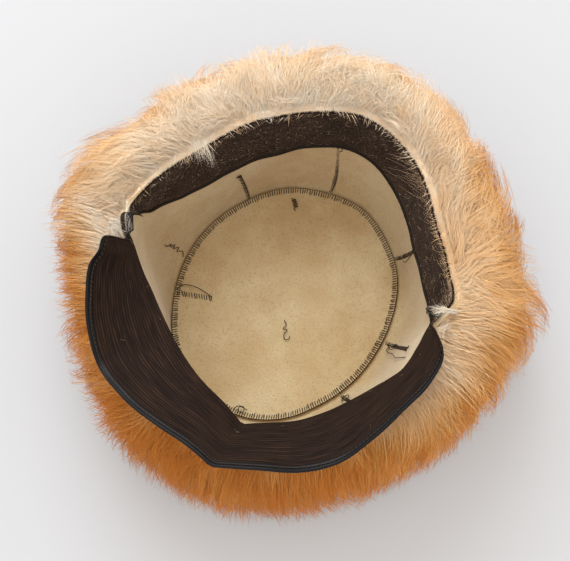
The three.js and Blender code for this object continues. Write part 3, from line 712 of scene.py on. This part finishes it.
def wool(name, combed):
    """Lambskin wool, combed and tip-dyed: cream at the root through apricot to rust at the tip, soft
    and half clear, so that light goes on through it. The points' dye value gives the place in that
    range. Combed wool is the dense body, and has partings 1.4 mm apart drawn on it, darker in the
    partings as painted shade. Loose strands are lit mostly as the pile that they lie in, whose way
    out they hold, for a soft surface."""
    made, tree = new_material(name)
    dye = add(tree, "ShaderNodeAttribute", attribute_name="dye")
    place = dye.outputs["Fac"]
    if not combed:
        own = add(tree, "ShaderNodeNewGeometry")
        part = add(tree, "ShaderNodeVectorMath", {
            0: own.outputs["Normal"], "Scale": 0.2,
        }, operation="SCALE")
        lay = add(tree, "ShaderNodeAttribute", attribute_name="lay")
        both = add(tree, "ShaderNodeVectorMath", {
            0: part.outputs[0], 1: lay.outputs["Vector"],
        }, operation="ADD")
        normal = add(tree, "ShaderNodeVectorMath", {0: both.outputs[0]}, operation="NORMALIZE").outputs[0]
    else:
        flat = add(tree, "ShaderNodeTexCoord").outputs["UV"]
        along = add(tree, "ShaderNodeMapping", {"Vector": flat, "Scale": (700, 70, 1)})
        partings = add(tree, "ShaderNodeTexNoise", {
            "Vector": along.outputs[0], "Scale": 1.0, "Detail": 5.0, "Roughness": 0.65, "Distortion": 0.6,
        })
        # Painted shade: the dye is raised where the partings are low, so that they read darker.
        parting_shade = add(tree, "ShaderNodeMapRange", {
            "Value": partings.outputs[0], 1: 0.3, 2: 0.7, 3: 0.07, 4: -0.04,
        })
        place = add(tree, "ShaderNodeMath", {0: place, 1: parting_shade.outputs[0]}, operation="ADD").outputs[0]
        bump = add(tree, "ShaderNodeBump", {
            "Height": partings.outputs[0], "Strength": 0.3, "Distance": 0.001,
        })
        normal = bump.outputs[0]
    ramp = add(tree, "ShaderNodeValToRGB", {0: place})
    stops = ramp.color_ramp.elements
    stops[0].position, stops[0].color = 0.0, linear("#FFFCF6")
    stops[1].position, stops[1].color = 1.0, linear("#D98A3C")
    for position, code in ((0.14, "#FFF4E0"), (0.36, "#FDDFB6"), (0.58, "#F5C88C"), (0.8, "#E9AA5E")):
        stops.new(position).color = linear(code)
    fibre = add(tree, "ShaderNodeBsdfPrincipled", {
        "Base Color": ramp.outputs[0], "Roughness": 0.75, "Specular IOR Level": 0.08, "Normal": normal,
    })
    through = add(tree, "ShaderNodeBsdfTranslucent", {"Color": ramp.outputs[0]})
    soft = add(tree, "ShaderNodeMixShader", {
        0: 0.12 if combed else 0.35, 1: fibre.outputs[0], 2: through.outputs[0],
    })
    add(tree, "ShaderNodeOutputMaterial", {"Surface": soft.outputs[0]})
    return made


def pile_point(angle, level):
    """The dense pile's surface at an angle and a level, counted in rows of its profile."""
    out, height, lift = (np.interp(level, np.arange(len(PROFILE)), PROFILE[:, k]) for k in range(3))
    free = around(PILE, 2, angle)
    height = height + (CREST_PRESSED + (CREST_RISE - CREST_PRESSED) * free) * lift
    height = height + RIM_SWELL * np.clip(free, 0, 1) * np.exp(-(level / RIM_SWELL_ROWS) ** 2)
    wall_level = np.clip((height - foot_height) / (rim_height - foot_height), 0, 1)
    inner = wall_point(angle, wall_level, HIDE + GAP)
    outer = about_crown(angle, around(PILE, 1, angle) - PILE_BACKING, height)
    inner[..., 2] = height
    return inner + (outer - inner) * out[..., None]


def dye_at(angle, level):
    """How far the wool at that place is dyed, from 0 at the rim to about 1 low on the near side; beside the
    rim this is partly painted light, and on the right partly painted shade.
    """
    base, strength, reach = (around(DYE, column, angle) for column in (1, 2, 3))
    t = np.clip((level + reach - DYE_STARTS) / DYE_ROWS, 0, 1)
    drift = np.sin(np.radians(7 * angle + 60 * level)) + np.sin(np.radians(17 * angle - 90 * level))
    drift += np.sin(np.radians(31 * angle + 110 * level))
    # Partly painted light: the wool just beside the rim is drawn a little paler, lifting the shade in the
    # hollow outside the band, on top of its slightly paler real colour.
    paler_rim_and_painted_light = 0.03 * np.exp(-np.asarray(level) / 0.9)
    return np.clip(base - paler_rim_and_painted_light + strength * t * t * (3 - 2 * t) + (0.015 + 0.07 * t) * drift, 0.02, 1)


dense_wool = wool("combed wool", True)
fleece = wool("loose wool", False)
turn = (np.arange(PILE_TURNS) * 360 / PILE_TURNS)[:, None]
level = np.linspace(0, 9, PILE_ROWS)[None] + 0 * turn
outside = pile_point(turn, level)
outside[..., 2] += PILE_SLACK * np.sin(np.radians(31 * turn) + 2 * level) * np.clip(level - 0.5, 0, 1)
over_rim = wall_point(turn, 1 + 0 * turn, 0.0004)
over_rim[..., 2] += 0.0004
free = np.clip(around(PILE, 2, turn), 0, 1)[..., None]
outside[:, :1] += (over_rim - outside[:, :1]) * free
wall_side = wall_point(turn, np.linspace(0.02, 0.9, 8)[None] + 0 * turn, HIDE + GAP)
pile_grid = np.concatenate([wall_side, outside], axis=1)
levels = np.concatenate([0 * wall_side[..., 0], level], axis=1)
# The body's dye marks hold painted shade on top of the wool's own dye.
side_pile = laid_out("side_pile_body", pile_grid, True, [dense_wool], flat=(0.8, 0.25),
                     marks={"dye": dye_at(turn, levels) + BODY_PAINTED_SHADE})
belongs(side_pile, "pile", "side_fur")

CROWN_PILE = np.array([(0.000, 0.0), (0.050, 0.0), (0.097, 0.0), (0.107, 0.0012), (0.113, 0.0052)])
CROWN_DYE = 0.7
turn = (np.arange(72) * 5.0)[:, None]
pile_top = 0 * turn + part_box("top_fur")[1].z
under_seam = around(SEAM, 1, turn) + 0.001
radius = np.concatenate([CROWN_PILE[:, 0] + 0 * turn, under_seam, 0 * turn], axis=1)
height = np.concatenate([CROWN_PILE[:, 1] + 0 * turn, pile_top, pile_top], axis=1)
crown_pile = laid_out("crown_pile_body", about_crown(turn, radius, height), False, [dense_wool],
                      flat=(0.7, 0.2), marks={"dye": CROWN_DYE + 0 * radius})
belongs(crown_pile, "pile", "top_fur")

# Loose wool: the outer locks of the pile. Strands start on the dense wool, lean down and away from
# the rim, and draw together in soft wavy locks; a few stray hairs leave them. A hair is 0.03 mm, so
# each strand stands for a small bundle.
SECTORS = ["near_right", "far_right", "far", "far_left", "near_left", "near"]
LOCKS_PER_SECTOR = 260
STRANDS_PER_LOCK = 21
STRAND_POINTS = 4
BUNDLE = np.array([0.00033, 0.00030, 0.00022, 0.00005])
LIE = np.array([  # level, lean from square to the surface in degrees, length, how locks draw together
    (0.0, 58, 0.016, 0.10), (1.0, 62, 0.019, 0.15), (2.0, 63, 0.025, 0.30), (3.0, 58, 0.031, 0.45),
    (4.0, 54, 0.034, 0.55), (5.0, 52, 0.034, 0.60), (6.0, 50, 0.031, 0.60), (7.0, 44, 0.027, 0.60),
    (8.0, 28, 0.019, 0.60), (9.0, 6, 0.014, 0.60),
])
EVEN_SPREAD = 0.618034  # this share of a turn from lock to lock leaves no gaps
LOCK_CURL = 18
LOCK_WIDTH = 0.0056
LOCK_ROWS = 0.36
PILE_MIDDLE = 0.125
STRAYS = 0.06
STRAY_STRETCH = 1.08
STRAY_WAVE = 0.0028
LOCK_WAVE = 0.0015
SINK = 0.10
PAST_OUTLINE = (0.004, 0.0105)
ABOVE_FLOOR = 0.0006
DARKER_TIPS = 0.16
OPEN_SKY = np.array([0, 0, 0.45])  # light from above evens out the shade on a strand
rng = np.random.default_rng(31)


def wool_piece(name, line, thick, dye, lay=None, slot="pile"):
    """Strands along lines as one piece of loose wool that rides with the hat."""
    vectors = {} if lay is None else {"lay": lay}
    piece = lines_piece(name, line, {"thick": thick, "dye": dye}, vectors)
    grown(piece, strands, Sides=3, Material=fleece)
    belongs(piece, slot)


def surface_frame(angle, level):
    """A point of the pile with the ways across, down and out of it."""
    here = pile_point(angle, level)
    across = unit(pile_point(angle + 0.5, level) - here)
    below = pile_point(angle, np.minimum(level + 0.05, 9))
    down = unit(below - pile_point(angle, np.minimum(level, 8.95)))
    return here, across, down, unit(np.cross(down, across))


def bent(angle, level, curl, length, lean, steps):
    """A lock's line from its root: leaning over, curling to one side and sinking a little."""
    here, across, down, out = surface_frame(angle, level)
    t = np.linspace(0, 1, steps)
    tilt = np.radians(lean)[:, None] * (0.72 + 0.5 * t)
    side = np.radians(curl)[:, None] * (0.3 + 1.4 * t)
    run = length[:, None] * t
    line = out[:, None] * (run * np.cos(tilt))[..., None]
    line += down[:, None] * (run * np.sin(tilt) * np.cos(side))[..., None]
    line += across[:, None] * (run * np.sin(tilt) * np.sin(side))[..., None]
    line[..., 2] -= SINK * run * t
    return here, line


def sector_locks(number):
    """Strands of one sixth of the pile: lines with their thickness, dye and the pile's way out."""
    count = LOCKS_PER_SECTOR
    angle = 60 * (number - 0.5) + 60 * (np.arange(count) * EVEN_SPREAD % 1)
    level = 9 * ((np.arange(count) + 0.5) / count) ** 1.2
    level = np.clip(level + rng.uniform(-0.25, 0.25, count), 0.05, 8.9)
    swirl = 16 * np.sin(np.radians(3 * angle + 30)) + 9 * np.sin(np.radians(8 * angle))
    loose = 0.3 + 0.7 * np.clip((around(PILE, 2, angle) + 0.15), 0, 1)
    curl = (swirl + rng.normal(0, LOCK_CURL, count)) * loose
    lean = np.interp(level, LIE[:, 0], LIE[:, 1]) * rng.uniform(0.88, 1.12, count)
    length = np.interp(level, LIE[:, 0], LIE[:, 2]) * rng.uniform(0.82, 1.18, count)
    tone = rng.normal(0, 0.05, count)
    guide_root, guide = bent(angle, level, curl, length, lean, STRAND_POINTS)

    lock = np.repeat(np.arange(count), STRANDS_PER_LOCK)
    each = len(lock)
    strand_angle = angle[lock] + np.degrees(rng.normal(0, LOCK_WIDTH, each) / PILE_MIDDLE)
    strand_level = np.clip(level[lock] + rng.normal(0, LOCK_ROWS, each), 0.0, 9)
    stray = rng.random(each) < STRAYS
    root, _, _, out = surface_frame(strand_angle, strand_level)
    t = np.linspace(0, 1, STRAND_POINTS)
    draw = np.interp(strand_level, LIE[:, 0], LIE[:, 3]) * rng.uniform(0.3, 1.1, each) * loose[lock]
    pull = np.where(stray, 0.05, draw)
    stretch = np.where(stray, STRAY_STRETCH, 1) * rng.uniform(0.80, 1.08, each)
    line = root[:, None] + guide[lock] * stretch[:, None, None]
    line -= (pull[:, None] * t**1.3)[..., None] * (root - guide_root[lock])[:, None]
    wave = rng.uniform(-1, 1, (each, 1, 3)) * np.sin(t * 5 + rng.uniform(0, 6, (each, 1)))[..., None]
    line += wave * t[None, :, None] * np.where(stray, STRAY_WAVE, LOCK_WAVE)[:, None, None]

    flat = line[..., :2] - crown_axis[:2]
    toward = np.degrees(np.arctan2(flat[..., 1], flat[..., 0])) % 360
    most = around(PILE, 1, toward) + rng.uniform(*PAST_OUTLINE, (each, 1))
    kept = np.minimum(1, most / np.hypot(flat[..., 0], flat[..., 1]))
    line[..., :2] = crown_axis[:2] + flat * kept[..., None]
    line[..., 2] = np.maximum(line[..., 2], ABOVE_FLOOR)

    thick = BUNDLE * np.where(stray, 0.6, 1)[:, None]
    dye = dye_at(strand_angle[:, None], strand_level[:, None] + 1.2 * t) + tone[lock][:, None]
    tipped = DARKER_TIPS * np.clip(strand_level / 3, 0, 1)
    dye += tipped[:, None] * t**3 + rng.normal(0, 0.045, (each, 1))
    return line, thick, np.clip(dye, 0.02, 1), unit(out + OPEN_SKY)[:, None]


for number, name in enumerate(SECTORS):
    wool_piece(f"loose_wool_{name}", *sector_locks(number))

# Hem of the crown: shorter wool of the crown's own skin round the foot of the hat, pressed out flat
# along the surface that the hat lies on.
HEM_STRANDS = 2200
HEM_ROOT = (0.098, 0.112)
HEM_HEIGHT = ([0.097, 0.107, 0.113], [0.001, 0.002, 0.006])  # radius, and height of the pile there
HEM_DEPTH = 0.010
HEM_REACH = (0.012, 0.022)
angle = rng.uniform(0, 360, HEM_STRANDS)
root_radius = rng.uniform(*HEM_ROOT, HEM_STRANDS)
root_height = np.interp(root_radius, *HEM_HEIGHT) + rng.uniform(0, HEM_DEPTH, HEM_STRANDS)
reach = rng.uniform(*HEM_REACH, HEM_STRANDS)
t = np.linspace(0, 1, STRAND_POINTS)
fanned = angle[:, None] + rng.normal(0, 5, HEM_STRANDS)[:, None] * t
line = about_crown(fanned, root_radius[:, None] + reach[:, None] * t,
                   root_height[:, None] * (1 - 0.8 * t**1.5) + ABOVE_FLOOR)
dye = np.clip(0.68 + 0.25 * t + rng.normal(0, 0.06, HEM_STRANDS)[:, None], 0, 1)
radial = unit(about_crown(angle, 1, 0.3) - about_crown(angle, 0, 0))[:, None]
wool_piece("loose_wool_hem", line, BUNDLE, dye, radial)

# Wool at the rim: wool that stands up beside the tucked band, hides the skin's cut edge and spreads
# both ways. On the right a haze of single hairs lies over the band, and where the band crosses over,
# white tufts push up between skin and ribbon.
FREE_RIM = (-17, 160)
FRINGE_STRANDS = 5400
FRINGE_LENGTH = (0.0028, 0.006)
FRINGE_INSET = 0.0032
HAZY_RIM = (-16, 46, 158)  # many long hairs up to the second angle, few short ones up to the third
HAZE_HAIRS = 900
HAZE_THICK = 0.000045
HAZE_POINTS = 7
LONG_HAIR = (0.003, 0.007)
SHORT_HAIR = (0.002, 0.004)
TUFTS = [  # strands, root from the crown's axis, tip, spread, thickness
    (130, (-0.1015, 0.0240, 0.1270), (-0.0970, 0.0150, 0.1340), 0.0036, 0.00024),
    (16, (-0.0930, 0.0360, 0.1310), (-0.0905, 0.0140, 0.1410), 0.0009, 0.00012),
    (60, (0.0985, -0.0310, 0.1290), (0.0850, -0.0315, 0.1350), 0.0018, 0.00022),
    (26, (0.0950, -0.0380, 0.1290), (0.0880, -0.0460, 0.1380), 0.0034, 0.00015),
    (34, (-0.0550, 0.0800, 0.1290), (-0.0535, 0.0660, 0.1300), 0.0019, 0.00010),
    (34, (-0.0530, 0.0805, 0.1290), (-0.0490, 0.0640, 0.1290), 0.0020, 0.00010),
    (30, (-0.0505, 0.0810, 0.1290), (-0.0435, 0.0590, 0.1270), 0.0017, 0.00009),
    (24, (-0.0570, 0.0780, 0.1290), (-0.0510, 0.0620, 0.1280), 0.0017, 0.00009),
]
TUFT_TAPER = np.array([1, 1, 0.9, 0.75, 0.5, 0.15])
TUFT_CURL = 0.0016
TUFT_ARCH = 0.003
TUFT_DYE = 0.14
up = np.array([0, 0, 1.0])


def rim_ways(angle):
    """The ways out of the hat and along its rim at some angles."""
    rim = np.ones(len(angle))
    outwards = unit(wall_point(angle, rim, 0.01) - wall_point(angle, rim, 0))
    return outwards[:, None], np.stack([-outwards[:, 1], outwards[:, 0], 0 * angle], -1)[:, None]


angle = rng.uniform(*FREE_RIM, FRINGE_STRANDS)
outwards, aside = rim_ways(angle)
root_level = np.abs(rng.normal(0, 0.28, FRINGE_STRANDS))
inset = (rng.uniform(0, FRINGE_INSET, FRINGE_STRANDS) * np.exp(-root_level / 0.15))[:, None, None]
root = pile_point(angle, root_level)[:, None] - inset * (outwards + 0.7 * up)
length = rng.uniform(*FRINGE_LENGTH, FRINGE_STRANDS) * (1 + root_level)
lean = (rng.normal(0.25, 0.45, FRINGE_STRANDS) - 0.9 * root_level)[:, None, None]
along = (0.6 * np.sin(np.radians(9 * angle)) + rng.normal(0, 0.5, FRINGE_STRANDS))[:, None, None]
run = (length[:, None] * t)[..., None]
line = root + run * (0.32 * up + aside * along - outwards * lean)
line -= up * run * t[None, :, None] * (0.3 + 0.5 * np.maximum(lean, 0))
dye = np.clip(dye_at(angle, root_level) + rng.normal(0.02, 0.08, FRINGE_STRANDS), 0, 1)[:, None]
wool_piece("wool_at_the_rim", line, 0.9 * BUNDLE, dye, 0.5 * up)

start, middle, end = HAZY_RIM
many, few = HAZE_HAIRS * 2 // 3, HAZE_HAIRS // 3
angle = np.concatenate([rng.uniform(start, middle, many), rng.uniform(middle, end, few)])
each = len(angle)
outwards, aside = rim_ways(angle)
root = wall_point(angle, np.full(each, 0.99), rng.uniform(-0.002, 0.003, each))[:, None]
length = np.where(angle < middle, rng.uniform(*LONG_HAIR, each), rng.uniform(*SHORT_HAIR, each))
inward = rng.uniform(-0.2, 0.45, each)[:, None, None]
along = rng.normal(-0.55, 0.6, each)[:, None, None]
bow = rng.normal(0, 1.5, each)[:, None, None]
share = np.linspace(0, 1, HAZE_POINTS)[None, :, None]
run = length[:, None, None] * share
line = root + 0.0012 * up + run * (aside * along - outwards * inward)
line += run * (1 - share) * 0.5 * up + run * share * (aside - outwards * 0.5) * bow
curl = np.sin(7 * share + rng.uniform(0, 6, (each, 1, 1))) * rng.uniform(0, 0.3, (each, 1, 1))
line += run * curl * aside - run * share * np.maximum(inward, 0) * 0.7 * up
wool_piece("hairs_over_the_band", line, HAZE_THICK, 0.4, up)

tufts = []
thickness = []
for count, root, tip, spread, thick in TUFTS:
    share = np.linspace(0, 1, len(TUFT_TAPER))[None, :, None]
    start = crown_axis + root + rng.normal(0, spread * 0.45, (count, 1, 3))
    finish = crown_axis + tip + rng.normal(0, spread, (count, 1, 3))
    curls = rng.normal(0, TUFT_CURL, (count, 1, 3)) * np.sin(share * 6 + rng.uniform(0, 6, (count, 1, 1)))
    arch = TUFT_ARCH * up * np.sin(math.pi * share)
    tufts.append(start + (finish - start) * share + curls * share + arch)
    thickness.append(np.tile(thick * TUFT_TAPER, (count, 1)))
wool_piece("white_tufts", np.concatenate(tufts), np.concatenate(thickness), TUFT_DYE, 0.6 * up)

# Lint: short pale hairs shed by the pile and caught on the napped side of the band, and a few on its
# ribbed back. They lie flat on the cloth, each a little bowed.
LINT = 700
LINT_THICK = 0.000036
LINT_SIZE = (0.0005, 0.0017)
LINT_ON_BACK = 0.04
CRUMPLE = 164
which = rng.integers(0, len(angles), LINT)
share = rng.integers(1, BAND_STEPS, LINT)
tucked = np.cos(np.radians(around(BAND, 1, angles[which]) - 180)) > -0.4
smooth = np.abs(angles[which] - CRUMPLE) > 10
keep = smooth & (tucked | (rng.random(LINT) < LINT_ON_BACK))
which, share = which[keep], share[keep]
side = np.where(tucked[keep], 1.0, -1.0)[:, None]
face = faces[which, share]
base = points[which, share] + face * side * (BAND_THICKNESS / 2 + 0.0004)
lay = unit(np.cross(face, rng.normal(0, 1, (len(which), 3))))
bow = unit(np.cross(face, lay))
t = np.linspace(-1, 1, 7)[None, :, None]
size = rng.uniform(*LINT_SIZE, (len(which), 1, 1))
bend = rng.normal(0, 0.7, (len(which), 1, 1)) * (t**2 - 0.4)
line = base[:, None] + lay[:, None] * size * t + bow[:, None] * size * bend
wool_piece("lint_on_the_band", line, LINT_THICK, 0.3, slot="band")

# Studio: a pale paper floor, one large soft lamp behind and to the left of the hat, a weak reflector
# in front and warm pale air all round, seen from 75 degrees above the floor as in the photograph.
CAMERA_FROM_CROWN = Vector((-0.000018, -0.243868, 0.994744))
CAMERA_HEIGHT_ANGLE = 75
LENS = 97.2
FLOOR = 3
LIGHTS = [  # name, size, watts, colour, place, the way that it faces
    ("softbox", 1.3, 30, (0.93, 1.0, 1.08), (-0.3, 1.1, 1.48), (0.3, -1.1, -1.38)),
    ("front reflector", 1.1, 4, (1.0, 1.0, 1.0), (-0.3, -1.3, 1.0), (0.3, 1.3, -0.9)),
]
AIR = 1.7


def paper():
    """Matt white paper over a weak light table, which keeps shadows pale: even, faintly warm, with
    the finest tooth."""
    made, tree = new_material("studio paper")
    place = add(tree, "ShaderNodeTexCoord").outputs["Object"]
    tooth = add(tree, "ShaderNodeTexNoise", {"Vector": place, "Scale": 900.0, "Detail": 2.0})
    bump = add(tree, "ShaderNodeBump", {"Height": tooth.outputs[0], "Strength": 0.05, "Distance": 0.0003})
    sheet = add(tree, "ShaderNodeBsdfPrincipled", {
        "Base Color": linear("#94979A"), "Roughness": 0.9, "Specular IOR Level": 0.1,
        "Emission Color": linear("#FFFAF7"), "Emission Strength": 0.18, "Normal": bump.outputs[0],
    })
    add(tree, "ShaderNodeOutputMaterial", {"Surface": sheet.outputs[0]})
    return made


floor_mesh = bpy.data.meshes.new("floor")
corners = [(-FLOOR, -FLOOR, 0), (FLOOR, -FLOOR, 0), (FLOOR, FLOOR, 0), (-FLOOR, FLOOR, 0)]
floor_mesh.from_pydata(corners, [], [(0, 1, 2, 3)])
floor_mesh.materials.append(paper())
floor = shown("floor", floor_mesh)

for name, size, watts, colour, place, way in LIGHTS:
    lamp = bpy.data.lights.new(name, "AREA")
    lamp.shape = "DISK"
    lamp.size = size
    lamp.energy = watts
    lamp.color = colour
    stand = bpy.data.objects.new(name, lamp)
    stand.location = place
    stand.rotation_euler = Vector(way).to_track_quat("-Z", "Y").to_euler()
    bpy.context.scene.collection.objects.link(stand)

world = bpy.data.worlds.new("pale air")
world.use_nodes = True
air = world.node_tree.nodes["Background"].inputs
air["Color"].default_value = linear("#FFF6EF")
air["Strength"].default_value = AIR
bpy.context.scene.world = world
bpy.context.scene.view_settings.view_transform = "Standard"

camera_data = bpy.data.cameras.new("camera")
camera_data.lens = LENS
camera_data.sensor_width = 36
camera = bpy.data.objects.new("camera", camera_data)
camera.location = Vector(crown_axis) + CAMERA_FROM_CROWN
camera.rotation_euler = (math.radians(90 - CAMERA_HEIGHT_ANGLE), 0, 0)
bpy.context.scene.collection.objects.link(camera)
bpy.context.scene.camera = camera
